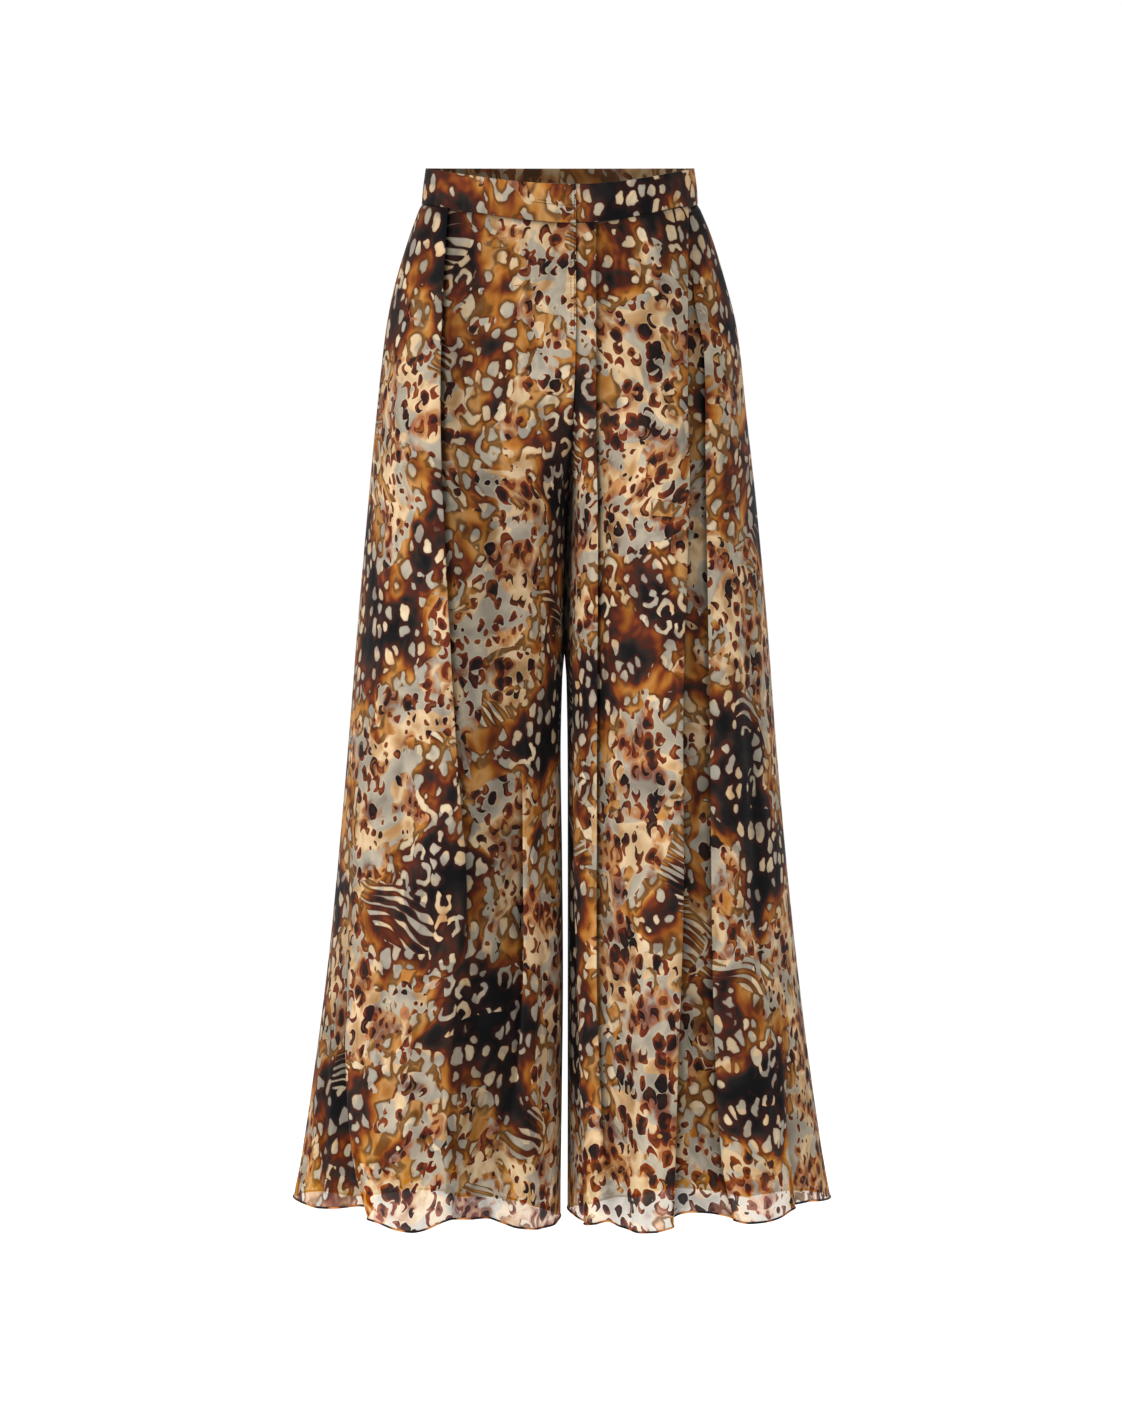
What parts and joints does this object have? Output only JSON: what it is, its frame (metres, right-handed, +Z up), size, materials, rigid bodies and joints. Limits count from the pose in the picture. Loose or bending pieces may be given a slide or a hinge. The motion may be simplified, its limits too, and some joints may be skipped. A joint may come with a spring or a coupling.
{
  "type": "palazzo trousers",
  "caption": "High-waisted wide-leg palazzo trousers in sheer animal-skin print, hanging filled out with open waist and hems, soft pleats and a narrow rolled hem",
  "frame": {"origin": "the middle of the waist, half way up the waistband, where the wearer's waist holds the trousers (mount waist)", "axes": "+Z is up, -Y is the front, +X is the wearer's left"},
  "size_m": [0.538, 0.2898, 1.0547],
  "materials": {
    "leg_cloth": "light sheer chiffon with a mixed animal-skin print, soft sheen",
    "waistband_cloth": "the same printed chiffon, doubled and stiffened"
  },
  "bodies": {
    "root": {"front_right": "leg_cloth", "front_left": "leg_cloth", "back_right": "leg_cloth", "back_left": "leg_cloth", "waistband_front_right": "waistband_cloth", "waistband_front_left": "waistband_cloth", "waistband_back_right": "waistband_cloth", "waistband_back_left": "waistband_cloth"}
  },
  "joints": []
}
